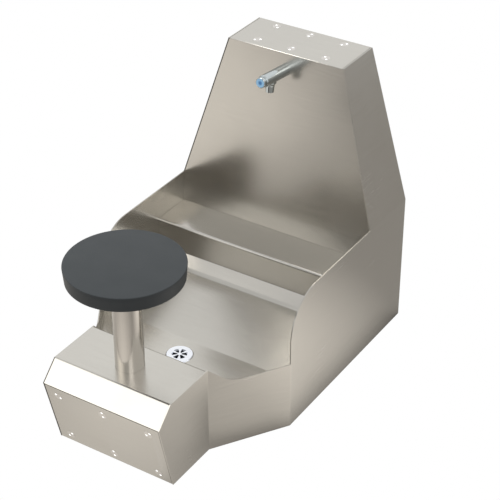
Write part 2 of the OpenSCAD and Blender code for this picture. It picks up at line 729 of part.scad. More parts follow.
module tap_body() color("#c3c8cb") on_face() difference() {
    union() {
        translate([0, 0, -sheet - shank_len]) cylinder(h = shank_len + 2 * sheet, r = shank_r);
        cylinder(h = head_front, r = tap_r);
        translate([0, 0, outlet_at]) rotate([90, 0, 0]) rotate_extrude() polygon(outlet_outline);
    }
    translate([0, 0, cartridge_front - cartridge_rim]) cylinder(h = tap_reach, r = bore_r);
    translate([0, 0, cartridge_back]) cylinder(h = tap_reach, r = cartridge_r);
    translate([0, 0, -sheet - shank_len - cut]) cylinder(h = tap_reach, r = passage_r);
    translate([0, 0, outlet_at]) rotate([90, 0, 0]) cylinder(h = outlet_drop + cut, r = nozzle_r);
}
// A round insert with small holes breaks up the jet
module nozzle_hole() translate([0, 0, -cut])
    cylinder(h = nozzle_h + 2 * cut, r = nozzle_r / 6, $fn = 16);
module tap_nozzle() color("#5b6064") on_face() translate([0, nozzle_h - outlet_drop + seat_gap, outlet_at])
    rotate([90, 0, 0]) difference() {
        cylinder(h = nozzle_h, r = nozzle_r - slide_fit);
        nozzle_hole();
        for (turn = [0 : 60 : 300]) rotate(turn) translate([nozzle_r / 2, 0, 0]) nozzle_hole();
    }

// A collar screwed into the body guides the button and keeps it in
module tap_collar() color("#cfd3d6") on_face() translate([0, 0, head_front]) difference() {
    union() {
        cylinder(h = collar_t, r1 = tap_r, r2 = tap_r - collar_t / 4);
        translate([0, 0, -collar_in]) cylinder(h = collar_in, r = bore_r - slide_fit);
    }
    translate([0, 0, -collar_in - cut])
        cylinder(h = collar_in + collar_t + 2 * cut, r = button_r + slide_fit);
}

// The button slides in the collar and has a stop ring and a plunger
button_edge = 1.2;
index_r = index_d / 2;
index_t = 1.5;
stop_t = 2;
plunger_r = 3;
button_back = head_front - collar_in - stop_t - seat_gap;
plunger_back = cartridge_front - 2 * plunger_r;
module tap_button() color("#d3d7da") on_face() difference() {
    union() {
        translate([0, 0, button_back])
            cylinder(h = tap_reach - button_edge - button_back, r = button_r);
        translate([0, 0, tap_reach - button_edge])
            cylinder(h = button_edge, r1 = button_r, r2 = button_r - button_edge);
        translate([0, 0, button_back]) cylinder(h = stop_t, r = bore_r - slide_fit);
        translate([0, 0, plunger_back]) cylinder(h = button_back - plunger_back + cut, r = plunger_r);
    }
    translate([0, 0, tap_reach - index_t]) cylinder(h = index_t + cut, r = index_r + fit);
}
module button_index() color("#5b9bd0") on_face() translate([0, 0, tap_reach - index_t])
    cylinder(h = index_t - seat_gap, r = index_r);

// The cartridge sits in the body with a rim against the shoulder, and the plunger runs in its nose
module metering_cartridge() color("#c8b27a") on_face() difference() {
    union() {
        translate([0, 0, cartridge_back]) cylinder(h = cartridge_len, r = cartridge_r - slide_fit);
        translate([0, 0, cartridge_front - cartridge_rim])
            cylinder(h = cartridge_rim, r = bore_r - slide_fit);
    }
    translate([0, 0, plunger_back - button_travel - stop_t])
        cylinder(h = tap_reach, r = plunger_r + slide_fit);
    translate([0, 0, cartridge_back - cut]) cylinder(h = cartridge_rim + cut, r = passage_r);
}

// The spring between the cartridge and the button's stop ring, as one unbroken wire
spring_wire = 1.2;
spring_turns = 4;
spring_sides = 8;
spring_steps = 16;
spring_r = plunger_r + 2 * spring_wire;
spring_from = cartridge_front + spring_wire / 2 + seat_gap;
spring_to = button_back - spring_wire / 2 - seat_gap;
spring_rings = spring_turns * spring_steps;
function spring_point(k, s) =
    let (turn = 360 * k / spring_steps, lift = (spring_to - spring_from) * k / spring_rings,
        out = spring_r + spring_wire / 2 * cos(360 * s / spring_sides))
    [out * cos(turn), out * sin(turn),
     spring_from + lift + spring_wire / 2 * sin(360 * s / spring_sides)];
function spring_face(k, s) =
    let (a = k * spring_sides + s, b = k * spring_sides + (s + 1) % spring_sides)
    [[a, b, a + spring_sides], [b, b + spring_sides, a + spring_sides]];
module return_spring() color("#b8bcbf") on_face() polyhedron(
    points = [for (k = [0 : spring_rings], s = [0 : spring_sides - 1]) spring_point(k, s)],
    faces = concat(
        [for (s = [1 : spring_sides - 2]) [0, s + 1, s]],
        [for (s = [1 : spring_sides - 2]) [for (i = [0, s, s + 1]) spring_rings * spring_sides + i]],
        [for (k = [0 : spring_rings - 1], s = [0 : spring_sides - 1]) each spring_face(k, s)]));

// Behind the face: washer and locknut
washer_t = 3;
washer_w = 7;
tap_nut_t = 9;
tap_nut_wall = 5;
module tap_washer() color("#3a3a3a") on_face() translate([0, 0, -sheet - washer_t])
    ring(washer_t, shank_r + washer_w, shank_r + fit);
module tap_locknut() color("#c8b27a") on_face() translate([0, 0, -sheet - washer_t - tap_nut_t])
    hex_ring(tap_nut_t, 2 * (shank_r + tap_nut_wall), shank_r + slide_fit);

// Supply: an elbow on the tap's shank and a straight tube down to the stop valve
tube_r = tube_d / 2;
tube_wall = 1;
tube_socket = 16;
union_nut_h = 14;
union_nut_wall = 3;
union_lip = 3;
union_grip = union_nut_h - union_lip;
elbow_neck_r = 8;
elbow_bulge = 1.5;
elbow_bore_r = 4.5;
elbow_collar = 6;
elbow_reach = 26;
elbow_drop = 32;
shank_end = sheet + shank_len;
elbow_at = shank_end + elbow_reach;
valve_y = face_y(tap_h) + elbow_at * cos(face_lean);
elbow_z = tap_h - elbow_at * sin(face_lean);
elbow_foot = elbow_z - elbow_drop;
valve_wall = 4;
valve_r = nipple_d / 2 + valve_wall;
valve_neck = 24;
valve_top = valve_h + valve_r + valve_neck;

module supply_elbow() color("#c8b27a") difference() {
    union() {
        on_face() translate([0, 0, -elbow_at]) cylinder(h = elbow_reach - seat_gap, r = elbow_neck_r);
        on_face() translate([0, 0, -shank_end - elbow_collar])
            cylinder(h = elbow_collar - seat_gap, r = shank_r);
        translate([0, valve_y, elbow_foot])
            cylinder(h = elbow_drop + elbow_neck_r + elbow_bulge, r = elbow_neck_r + elbow_bulge);
        translate([0, valve_y, elbow_foot]) cylinder(h = tube_socket, r = shank_r);
    }
    on_face() translate([0, 0, -elbow_at]) cylinder(h = elbow_reach + cut, r = elbow_bore_r);
    translate([0, valve_y, elbow_foot - cut]) cylinder(h = elbow_drop + passage_r + cut, r = passage_r);
    translate([0, valve_y, elbow_foot - cut]) cylinder(h = tube_socket - union_lip + cut, r = tube_r + fit);
}
module supply_tube() color("#b9734a") translate([0, valve_y, valve_top - tube_socket + union_lip])
    ring(elbow_foot - valve_top + 2 * (tube_socket - union_lip) - 2 * seat_gap, tube_r, tube_r - tube_wall);

// A hexagon nut with a lip that holds a collar or a tube in its end
module union_nut(neck_r) difference() {
    cylinder(h = union_nut_h, d = 2 * (shank_r + union_nut_wall) / cos(30), $fn = 6);
    translate([0, 0, -cut]) cylinder(h = union_nut_h + 2 * cut, r = neck_r + slide_fit);
    translate([0, 0, -cut]) cylinder(h = union_grip + cut, r = shank_r + slide_fit);
}
module swivel_nut() color("#c8b27a") on_face()
    translate([0, 0, union_grip - elbow_collar - seat_gap - shank_end]) rotate([180, 0, 0])
        union_nut(elbow_neck_r);
module compression_nuts() color("#c8b27a") {
    translate([0, valve_y, elbow_foot + union_grip - seat_gap]) rotate([180, 0, 0]) union_nut(tube_r);
    translate([0, valve_y, valve_top - union_grip + seat_gap]) union_nut(tube_r);
}

// Stop valve: inlet at the back, outlet on top, and a quarter-turn stem at the front
valve_len = 16;
bonnet_len = 26;
bonnet_wall = 3;
plug_r = 8;
stem_r = 4;
port_r = plug_r / 2;
tip_w = 5;
tip_len = 10;
handle_t = 12;
handle_gap = 2;
handle_len = 46;
handle_w = 14;
handle_hub_r = 10;
handle_screw_d = 3;
handle_back = valve_len + bonnet_len + handle_gap;

// The valve's frame: Z points to the front, Y up
module at_valve() translate([0, valve_y, valve_h]) rotate([90, 0, 0]) children();
module stop_valve_body() color("#c3c8cb") difference() {
    union() {
        at_valve() translate([0, 0, -valve_len]) cylinder(h = 2 * valve_len, r = valve_r);
        at_valve() cylinder(h = valve_len + bonnet_len, r = plug_r + bonnet_wall);
        translate([0, valve_y, valve_h]) cylinder(h = valve_top - valve_h, r = shank_r);
    }
    at_valve() translate([0, 0, -valve_len - cut])
        cylinder(h = valve_len - plug_r + cut, d = nipple_d + 2 * slide_fit);
    at_valve() translate([0, 0, -plug_r - cut])
        cylinder(h = valve_len + plug_r + cut, r = plug_r + slide_fit);
    at_valve() cylinder(h = valve_len + bonnet_len + cut, r = stem_r + slide_fit);
    translate([0, valve_y, valve_h]) cylinder(h = valve_top - valve_h + cut, r = port_r);
    translate([0, valve_y, valve_top - tube_socket + union_lip - seat_gap])
        cylinder(h = tube_socket, r = tube_r + fit);
}
// The stem ends in a round plug with an elbow bore, and its square tip holds the handle
module valve_stem() color("#c8b27a") at_valve() difference() {
    union() {
        translate([0, 0, seat_gap - plug_r]) cylinder(h = valve_len + plug_r - 2 * seat_gap, r = plug_r);
        cylinder(h = handle_back - seat_gap, r = stem_r);
        translate([-tip_w / 2, -tip_w / 2, 0]) cube([tip_w, tip_w, handle_back + tip_len]);
    }
    rotate([-90, 0, 0]) cylinder(h = plug_r + cut, r = port_r);
    translate([0, 0, -plug_r - cut]) cylinder(h = plug_r + cut, r = port_r);
    translate([0, 0, handle_back]) cylinder(h = tip_len + cut, d = handle_screw_d + 2 * slide_fit);
}
// A wing handle with rounded tips, in line with the outlet while the valve is open
module stop_valve_handle() color("#3a3d41") at_valve() translate([0, 0, handle_back]) difference() {
    union() {
        cylinder(h = handle_t, r = handle_hub_r);
        for (side = [-1, 1]) translate([0, side * (handle_len - handle_w) / 2, 0])
            cylinder(h = 2 * handle_t / 3, d = handle_w);
        translate([-handle_w / 2, (handle_w - handle_len) / 2, 0])
            cube([handle_w, handle_len - handle_w, 2 * handle_t / 3]);
    }
    translate([-tip_w / 2 - slide_fit, -tip_w / 2 - slide_fit, -cut])
        cube([tip_w + 2 * slide_fit, tip_w + 2 * slide_fit, tip_len + seat_gap + cut]);
    cylinder(h = handle_t + cut, d = handle_screw_d + 2 * slide_fit);
}
module handle_screw() color("#b5b0a6") at_valve() translate([0, 0, handle_back + handle_t]) {
    cylinder(h = handle_screw_d / 2, d = 2 * handle_screw_d);
    translate([0, 0, -tip_len + handle_screw_d / 2]) cylinder(h = tip_len, d = handle_screw_d);
}

nipple_wall = 2.5;
nipple_nut_t = 7;
nipple_nut_wall = 5;
nipple_collar_t = 6;
module inlet_nipple() color("#c3c8cb") translate([0, back_y, valve_h]) rotate([90, 0, 0]) {
    ring(back_y - valve_y - plug_r - seat_gap, nipple_d / 2, nipple_d / 2 - nipple_wall);
    translate([0, 0, back_y - bracket_y - nipple_collar_t])
        hex_ring(nipple_collar_t, nipple_d + 2 * nipple_nut_wall, nipple_d / 2 - nipple_wall / 2);
}
module nipple_locknut() color("#c8b27a") translate([0, bracket_y - sheet, valve_h]) rotate([90, 0, 0])
    hex_ring(nipple_nut_t, nipple_d + 2 * nipple_nut_wall, nipple_d / 2 + slide_fit);

left_side_sheet();
right_side_sheet();
pedestal_cover();
front_top_rail();
front_sill();
front_access_panel();
front_panel_screws();
front_nut_inserts();
basin_pan();
basin_support_channel();
foot_ledge();
ledge_channel();
tower_front_panel();
tower_top_frame();
top_access_panel();
top_panel_screws();
top_nut_inserts();
back_top_rail();
back_bottom_rail();
supply_bracket();
seat_disc();
seat_plate();
seat_screws();
seat_post();
post_base_plate();
pedestal_channel();
post_plate_bolts();
drain_flange();
drain_screw();
drain_gasket();
drain_body();
tailpiece();
tailpiece_nut();
p_trap();
trap_nuts();
waste_arm();
tap_body();
tap_nozzle();
tap_collar();
tap_button();
button_index();
metering_cartridge();
return_spring();
tap_washer();
tap_locknut();
supply_elbow();
swivel_nut();
supply_tube();
compression_nuts();
stop_valve_body();
valve_stem();
stop_valve_handle();
handle_screw();
inlet_nipple();
nipple_locknut();
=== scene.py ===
"""Looks of the foot washing station: brushed sheet steel, chrome fittings and a slate grey seat.

Every shown CAD node is copied, its sharp edges are broken with small bevels, and it gets a
procedural material. A pale floor, a sky glow and three area lights make the studio.
Lengths are in metres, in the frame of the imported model.
"""

import json
import math

import bmesh
import bpy
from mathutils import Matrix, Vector

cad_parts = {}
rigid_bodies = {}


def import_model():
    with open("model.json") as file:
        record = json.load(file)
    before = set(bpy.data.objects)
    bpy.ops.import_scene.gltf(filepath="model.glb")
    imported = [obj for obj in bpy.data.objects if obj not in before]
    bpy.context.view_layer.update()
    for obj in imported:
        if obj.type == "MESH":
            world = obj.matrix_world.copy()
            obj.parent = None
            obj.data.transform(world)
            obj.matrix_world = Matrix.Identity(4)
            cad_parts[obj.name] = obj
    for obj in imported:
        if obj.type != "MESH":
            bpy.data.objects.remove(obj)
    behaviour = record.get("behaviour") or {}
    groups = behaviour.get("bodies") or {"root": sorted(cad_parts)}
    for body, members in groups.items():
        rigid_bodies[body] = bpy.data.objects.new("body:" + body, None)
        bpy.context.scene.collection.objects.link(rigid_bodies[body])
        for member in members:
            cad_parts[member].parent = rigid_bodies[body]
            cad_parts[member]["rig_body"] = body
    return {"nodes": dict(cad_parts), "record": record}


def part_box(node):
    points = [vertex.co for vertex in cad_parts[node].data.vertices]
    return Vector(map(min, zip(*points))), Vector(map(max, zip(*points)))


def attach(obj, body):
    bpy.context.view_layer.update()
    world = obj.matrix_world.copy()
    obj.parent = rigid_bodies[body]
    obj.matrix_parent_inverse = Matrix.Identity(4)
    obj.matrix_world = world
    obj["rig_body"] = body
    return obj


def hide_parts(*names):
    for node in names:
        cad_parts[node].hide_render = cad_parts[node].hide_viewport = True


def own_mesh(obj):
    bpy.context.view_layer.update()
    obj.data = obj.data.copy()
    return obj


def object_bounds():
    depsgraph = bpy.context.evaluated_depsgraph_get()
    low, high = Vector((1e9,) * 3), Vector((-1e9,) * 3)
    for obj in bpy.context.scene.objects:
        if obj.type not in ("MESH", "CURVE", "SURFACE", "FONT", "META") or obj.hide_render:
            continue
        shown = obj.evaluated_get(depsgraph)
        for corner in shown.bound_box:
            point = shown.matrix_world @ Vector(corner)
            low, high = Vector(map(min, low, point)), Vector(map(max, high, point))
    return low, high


MM = 0.001

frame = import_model()
cad_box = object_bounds()
nodes = frame["nodes"]
scene = bpy.context.scene
scene.view_settings.view_transform = "Standard"

slot_of = {part["node"]: part["material_slot"] for part in frame["record"]["subparts"]}

# Camera, at the photograph's angle
CAMERA_TARGET = Vector((0.0897, 0.0528, 0.4013))
CAMERA_AZIMUTH = math.radians(32.61)
CAMERA_ELEVATION = math.radians(33.06)
CAMERA_DISTANCE = 4.0575
CAMERA_LENS = 110.75
SENSOR_WIDTH = 36.0


def look_at(thing, target):
    thing.rotation_euler = (target - thing.location).to_track_quat("-Z", "Y").to_euler()


def add_camera():
    camera = bpy.data.objects.new("camera", bpy.data.cameras.new("camera"))
    camera.data.sensor_width = SENSOR_WIDTH
    camera.data.lens = CAMERA_LENS
    camera.location = CAMERA_TARGET + CAMERA_DISTANCE * Vector(
        (
            math.sin(CAMERA_AZIMUTH) * math.cos(CAMERA_ELEVATION),
            -math.cos(CAMERA_AZIMUTH) * math.cos(CAMERA_ELEVATION),
            math.sin(CAMERA_ELEVATION),
        )
    )
    look_at(camera, CAMERA_TARGET)
    scene.collection.objects.link(camera)
    scene.camera = camera


RANGE_SOCKETS = ("From Min", "From Max", "To Min", "To Max")

# The part of its range that one noise fills, and that two added noises fill
NOISE_SPAN = (0.3, 0.7)
TWO_NOISE_SPAN = (0.7, 1.3)


def set_range(mapped, start, end, low, high):
    """Makes a Map Range node turn start to end into low to high."""
    for socket, value in zip(RANGE_SOCKETS, (start, end, low, high)):
        mapped.inputs[socket].default_value = value


class Shader:
    """A node material with short calls for the textures that the pieces share."""

    def __init__(self, name, **values):
        self.material = bpy.data.materials.new(name)
        self.material.use_nodes = True
        self.tree = self.material.node_tree
        self.surface = self.tree.nodes["Principled BSDF"]
        self.coordinates = self.node("TexCoord").outputs["Object"]
        for socket, value in values.items():
            self.surface.inputs[socket.replace("_", " ")].default_value = value

    def node(self, kind, **settings):
        made = self.tree.nodes.new("ShaderNode" + kind)
        for key, value in settings.items():
            setattr(made, key, value)
        return made

    def join(self, source, target):
        self.tree.links.new(source, target)

    def stretched(self, scale):
        mapping = self.node("Mapping")
        mapping.inputs["Scale"].default_value = scale
        self.join(self.coordinates, mapping.inputs["Vector"])
        return mapping.outputs["Vector"]

    def noise(self, scale, detail, roughness=0.5, vector=None):
        texture = self.node("TexNoise")
        texture.inputs["Scale"].default_value = scale
        texture.inputs["Detail"].default_value = detail
        texture.inputs["Roughness"].default_value = roughness
        self.join(vector or self.coordinates, texture.inputs["Vector"])
        return texture.outputs["Fac"]

    def measured(self, operation, vector):
        """The surface's DISTANCE from a point, or its DOT_PRODUCT with a direction."""
        measure = self.node("VectorMath", operation=operation)
        measure.inputs[1].default_value = vector
        self.join(self.coordinates, measure.inputs[0])
        return measure.outputs["Value"]

    def span(self, value, low, high, start=NOISE_SPAN[0], end=NOISE_SPAN[1]):
        """value from start to end becomes low to high."""
        mapped = self.node("MapRange")
        set_range(mapped, start, end, low, high)
        self.join(value, mapped.inputs["Value"])
        return mapped.outputs["Result"]

    def mix(self, share, first, second):
        mixed = self.node("Mix", data_type="RGBA")
        self.join(share, mixed.inputs[0])
        for socket, tone in ((mixed.inputs[6], first), (mixed.inputs[7], second)):
            socket.default_value = (*tone, 1.0)
        return mixed.outputs[2]

    def combined(self, operation, first, second):
        result = self.node("Math", operation=operation)
        self.join(first, result.inputs[0])
        self.join(second, result.inputs[1])
        return result.outputs[0]

    def add(self, first, second):
        return self.combined("ADD", first, second)

    def times(self, first, second):
        return self.combined("MULTIPLY", first, second)

    def colour(self, source):
        self.join(source, self.surface.inputs["Base Color"])

    def rough(self, source):
        self.join(source, self.surface.inputs["Roughness"])

    def bump(self, height, distance, strength):
        bump = self.node("Bump")
        bump.inputs["Strength"].default_value = strength
        bump.inputs["Distance"].default_value = distance
        self.join(height, bump.inputs["Height"])
        self.join(bump.outputs["Normal"], self.surface.inputs["Normal"])


def scaled_tone(tone, factor):
    return tuple(factor * c for c in tone)


# Noise scales, per metre
FINE_STROKES = 2800.0
BROAD_STROKES = 900.0
CLOUDS = 7.0
POLISH_MARKS = 900.0
WATER_FILM = 40.0
MOULD_GRAIN = 1400.0
SEAT_GRAIN = 700.0
PLASTIC_FILM = 18.0
INSERT_FILM = 300.0
INDEX_FILM = 600.0

STROKE_DEPTH = 0.024 * MM
POLISH_DEPTH = 0.01 * MM
MOULD_DEPTH = 0.06 * MM
SEAT_DEPTH = 0.12 * MM

INDEX_RING = (3.2 * MM, 7.5 * MM)
INDEX_MIDDLE = (0.03, 0.17, 0.42)
INDEX_RIM = (0.27, 0.52, 0.78)


def brushed(name, tone, roughness, grain):
    """Sheet steel brushed one way. grain is (x, y, z): small along the strokes, 1 across them."""
    steel = Shader(name, Metallic=1.0)
    fine = steel.noise(FINE_STROKES, 2.0, vector=steel.stretched(grain))
    broad = steel.noise(BROAD_STROKES, 3.0, vector=steel.stretched(grain))
    cloud = steel.noise(CLOUDS, 3.0)
    strokes = steel.add(fine, broad)
    share = steel.span(strokes, 0.0, 1.0, *TWO_NOISE_SPAN)
    steel.colour(steel.mix(share, scaled_tone(tone, 0.95), scaled_tone(tone, 1.05)))
    steel.rough(
        steel.add(
            steel.span(strokes, roughness - 0.02, roughness + 0.02, *TWO_NOISE_SPAN),
            steel.span(cloud, -0.02, 0.02),
        )
    )
    steel.bump(strokes, STROKE_DEPTH, 0.16)
    return steel.material


def polished(name, tone, roughness):
    """Plated or turned metal with faint marks from polishing and water."""
    metal = Shader(name, Metallic=1.0)
    marks = metal.noise(POLISH_MARKS, 4.0, 0.6)
    film = metal.noise(WATER_FILM, 3.0, 0.55)
    metal.colour(metal.mix(metal.span(film, 0.0, 1.0), scaled_tone(tone, 0.95), tone))
    metal.rough(
        metal.add(
            metal.span(film, roughness * 0.7, roughness * 1.2),
            metal.span(marks, -0.01, 0.015),
        )
    )
    metal.bump(marks, POLISH_DEPTH, 0.15)
    return metal.material


def moulded(name, tone, roughness, grain=MOULD_GRAIN, depth=MOULD_DEPTH):
    """Moulded plastic or rubber with an even fine grain."""
    plastic = Shader(name, Metallic=0.0)
    pores = plastic.noise(grain, 5.0, 0.65)
    film = plastic.noise(PLASTIC_FILM, 3.0)
    plastic.colour(plastic.mix(plastic.span(pores, 0.0, 1.0), scaled_tone(tone, 0.8), scaled_tone(tone, 1.2)))
    plastic.rough(
        plastic.add(
            plastic.span(pores, roughness - 0.06, roughness + 0.06),
            plastic.span(film, -0.03, 0.03),
        )
    )
    plastic.bump(pores, depth, 0.5)
    return plastic.material


def plastic_with_painted_glow(name, tone, roughness, glow):
    """White plastic that glows a little: a painted highlight that keeps it bright however small it
    shows.
    """
    plastic = Shader(name, Metallic=0.0, Emission_Color=(*tone, 1.0), Emission_Strength=glow)
    film = plastic.noise(INSERT_FILM, 3.0)
    plastic.colour(plastic.mix(plastic.span(film, 0.0, 1.0), scaled_tone(tone, 0.94), tone))
    plastic.rough(plastic.span(film, roughness - 0.05, roughness + 0.05))
    return plastic.material


def index_blue(centre):
    """Light blue button insert that darkens towards its middle."""
    disc = Shader("index_blue", Metallic=0.0, Coat_Weight=0.6, Coat_Roughness=0.05)
    ring = disc.span(disc.measured("DISTANCE", centre), 0.0, 1.0, *INDEX_RING)
    disc.colour(disc.mix(ring, INDEX_MIDDLE, INDEX_RIM))
    film = disc.noise(INDEX_FILM, 3.0)
    disc.rough(disc.span(film, 0.2, 0.3))
    disc.bump(film, POLISH_DEPTH, 0.1)
    return disc.material


STEEL_TONE = (0.55, 0.53, 0.492)
ALONG_X = (0.008, 1.0, 1.0)
LEVEL = (0.008, 0.008, 1.0)
UPRIGHT = (1.0, 1.0, 0.008)
EVEN = (1.0, 1.0, 1.0)

material_of_slot = {
    "cabinet_steel": brushed("steel_across", STEEL_TONE, 0.23, ALONG_X),
    "inner_steel": brushed("steel_inner", (0.5, 0.49, 0.47), 0.38, ALONG_X),
    "post_steel": brushed("steel_post", (0.58, 0.55, 0.51), 0.19, UPRIGHT),
    "screw_steel": brushed("steel_turned", (0.625, 0.6, 0.57), 0.22, EVEN),
    "spring_steel": brushed("steel_wire", (0.6, 0.6, 0.6), 0.25, EVEN),
    "chrome": polished("chrome", (0.51, 0.55, 0.56), 0.09),
    "waste_chrome": polished("waste_chrome", (0.74, 0.75, 0.77), 0.14),
    "brass": polished("brass", (0.72, 0.54, 0.25), 0.24),
    "copper": polished("copper", (0.72, 0.36, 0.2), 0.22),
    "seat_plastic": moulded("seat_slate", (0.035, 0.042, 0.047), 0.5, SEAT_GRAIN, SEAT_DEPTH),
    "nozzle_grey": moulded("nozzle_grey", (0.2, 0.21, 0.22), 0.4),
    "black_rubber": moulded("black_rubber", (0.018, 0.018, 0.018), 0.65),
    "handle_plastic": moulded("black_plastic", (0.03, 0.03, 0.032), 0.42),
    "drain_plastic": moulded("drain_grey", (0.07, 0.085, 0.105), 0.35),
}

side_steel = brushed("steel_side", STEEL_TONE, 0.24, LEVEL)
drain_chrome = polished("drain_chrome", (0.84, 0.86, 0.91), 0.2)
index_low, index_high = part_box("button_index")
material_of_node = {
    "left_side_sheet": side_steel,
    "right_side_sheet": side_steel,
    "drain_flange": drain_chrome,
    "drain_screw": drain_chrome,
    "button_index": index_blue((index_low + index_high) / 2),
}

# Materials for single faces
# The driver holes are white and glow a little: the glow is a painted highlight
white_dot_painted_glow = plastic_with_painted_glow("driver_hole", (0.95, 0.95, 0.94), 0.4, 0.5)
# Painted shade: a darker tone for the seat's side
seat_side_painted_shade = moulded("seat_side_painted_shade", (0.018, 0.022, 0.025), 0.55, SEAT_GRAIN, SEAT_DEPTH)
# Painted shade: a dark tone for the left sheet's cut edges
cut_edge_painted_shade = brushed("cut_edge_painted_shade", (0.1, 0.096, 0.084), 0.45, EVEN)

SHEET_EDGE = 0.45 * MM
FOLD_EDGE = 1.4 * MM
FITTING_EDGE = 0.3 * MM
edge_of_slot = {
    "cabinet_steel": SHEET_EDGE,
    "inner_steel": SHEET_EDGE,
    "chrome": FITTING_EDGE,
    "brass": FITTING_EDGE,
    "waste_chrome": FITTING_EDGE,
    "handle_plastic": 3 * FITTING_EDGE,
}

DOUBLED_REACH = 0.002 * MM
FLAT_ANGLE = math.radians(0.3)
SMOOTH_ANGLE = math.radians(28)
BEVEL_ANGLE = math.radians(32)

# How deep under a screw's face its driver holes are painted, and the least turn towards it
DRIVER_HOLE_DEPTHS = (0.3 * MM, 1.1 * MM)
DRIVER_HOLE_FACING = -0.2

# A face counts as facing a way from here on
FACING = 0.5
TOWER_FOOT_RISE = 100 * MM


def cleaned(mesh):
    """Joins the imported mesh's doubled corners and clears the lines inside its flat faces."""
    work = bmesh.new()
    work.from_mesh(mesh)
    bmesh.ops.remove_doubles(work, verts=work.verts, dist=DOUBLED_REACH)
    bmesh.ops.dissolve_limit(
        work,
        angle_limit=FLAT_ANGLE,
        use_dissolve_boundaries=False,
        verts=work.verts,
        edges=work.edges,
    )
    work.normal_update()
    work.to_mesh(mesh)
    work.free()
    mesh.shade_smooth()
    mesh.set_sharp_from_angle(angle=SMOOTH_ANGLE)


def add_bevel(piece, width, segments, method):
    bevel = piece.modifiers.new("edge", "BEVEL")
    bevel.width = width
    bevel.segments = segments
    bevel.limit_method = method
    return bevel


def break_front_edge(piece):
    """A rounded front edge, as where the sheet is folded, that catches the light."""
    mesh = piece.data
    front = min(vertex.co.y for vertex in mesh.vertices)
    top = max(vertex.co.z for vertex in mesh.vertices)
    weights = mesh.attributes.new("bevel_weight_edge", "FLOAT", "EDGE")
    for edge in mesh.edges:
        ends = [mesh.vertices[index].co for index in edge.vertices]
        near = all(end.y < front + 2 * SHEET_EDGE and end.z > top - SHEET_EDGE for end in ends)
        weights.data[edge.index].value = 1.0 if near else 0.0
    mesh.shade_flat()
    add_bevel(piece, FOLD_EDGE, 3, "WEIGHT")


def dress(name):
    """Shows a bevelled copy of the CAD node with its material."""
    source = nodes[name]
    piece = bpy.data.objects.new(name + "_look", source.data.copy())
    scene.collection.objects.link(piece)
    cleaned(piece.data)
    slot = slot_of[name]
    piece.data.materials.clear()
    piece.data.materials.append(material_of_node.get(name, material_of_slot.get(slot)))
    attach(piece, source["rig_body"])
    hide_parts(name)
    if name == "top_access_panel":
        break_front_edge(piece)
    elif slot in edge_of_slot:
        bevel = add_bevel(piece, edge_of_slot[slot], 2, "ANGLE")
        bevel.angle_limit = BEVEL_ANGLE
        bevel.harden_normals = True
    return piece


def paint_faces(piece, material, chosen):
    """Gives the material to the faces that chosen(face) picks."""
    piece.data.materials.append(material)
    last = len(piece.data.materials) - 1
    for face in piece.data.polygons:
        if chosen(face):
            face.material_index = last


def paint_driver_holes(piece, out):
    """White floors and walls, with a painted glow as highlight, for the driver holes of flush
    screws that face along out.
    """
    head = max(vertex.co.dot(out) for vertex in piece.data.vertices)
    least, most = DRIVER_HOLE_DEPTHS

    def chosen(face):
        depth = head - face.center.dot(out)
        return least < depth < most and face.normal.dot(out) > DRIVER_HOLE_FACING

    paint_faces(piece, white_dot_painted_glow, chosen)


pieces = {name: dress(name) for name in nodes}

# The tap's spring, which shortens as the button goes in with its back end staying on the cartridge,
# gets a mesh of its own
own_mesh(pieces["return_spring"])

# The front panel's largest face gives the way that its screws face
panel_faces = [face for face in pieces["front_access_panel"].data.polygons if face.normal.y < 0]
panel_out = max(panel_faces, key=lambda face: face.area).normal.copy()
# Painted highlight: the screws' driver holes get the white, glowing material
paint_driver_holes(pieces["front_panel_screws"], panel_out)
paint_driver_holes(pieces["top_panel_screws"], Vector((0.0, 0.0, 1.0)))

# The seat's side is darker than its top: painted shade, as the side gets less light.
paint_faces(pieces["seat_disc"], seat_side_painted_shade, lambda face: abs(face.normal.z) < FACING)

# The left sheet's cut edges at the pedestal's front and beside the tower's face are painted dark:
# painted shade, which the right sheet's cut edges don't get.
pedestal_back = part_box("pedestal_cover")[1].y
tower_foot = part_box("foot_ledge")[1].z + TOWER_FOOT_RISE


def is_painted_shade_cut(face):
    shown = face.center.y < pedestal_back or face.center.z > tower_foot
    return face.normal.y < -FACING and shown


paint_faces(pieces["left_side_sheet"], cut_edge_painted_shade, is_painted_shade_cut)

# Floor: its glow for reflections, brighter in pools, and the shade beside the right side sheet
FLOOR_HALF = 6.0
FLOOR_DROP = 0.5 * MM
FLOOR_TINT = (1.02, 0.975, 0.91)
FLOOR_GLOW = 0.38
FRONT_POOL_AT = (-0.04, -0.72, 0.0)
FRONT_POOL_REACH = 0.68
FRONT_POOL = 0.69
LEFT_POOL_SIDE = (-0.813, 0.585, 0.0)
LEFT_POOL_SPAN = (-0.42, -0.02)
LEFT_POOL_FADE = (-0.3, 0.1)
LEFT_POOL_START = (0.5, 1.0)
LEFT_POOL = 0.72
RIGHT_POOL_AT = (0.75, 0.06, 0.0)
RIGHT_POOL_REACH = 0.64
RIGHT_POOL = 1.46
FLOOR_SHADE_REACH = 0.08
FLOOR_SHADE_FROM = (0.12, 0.24)


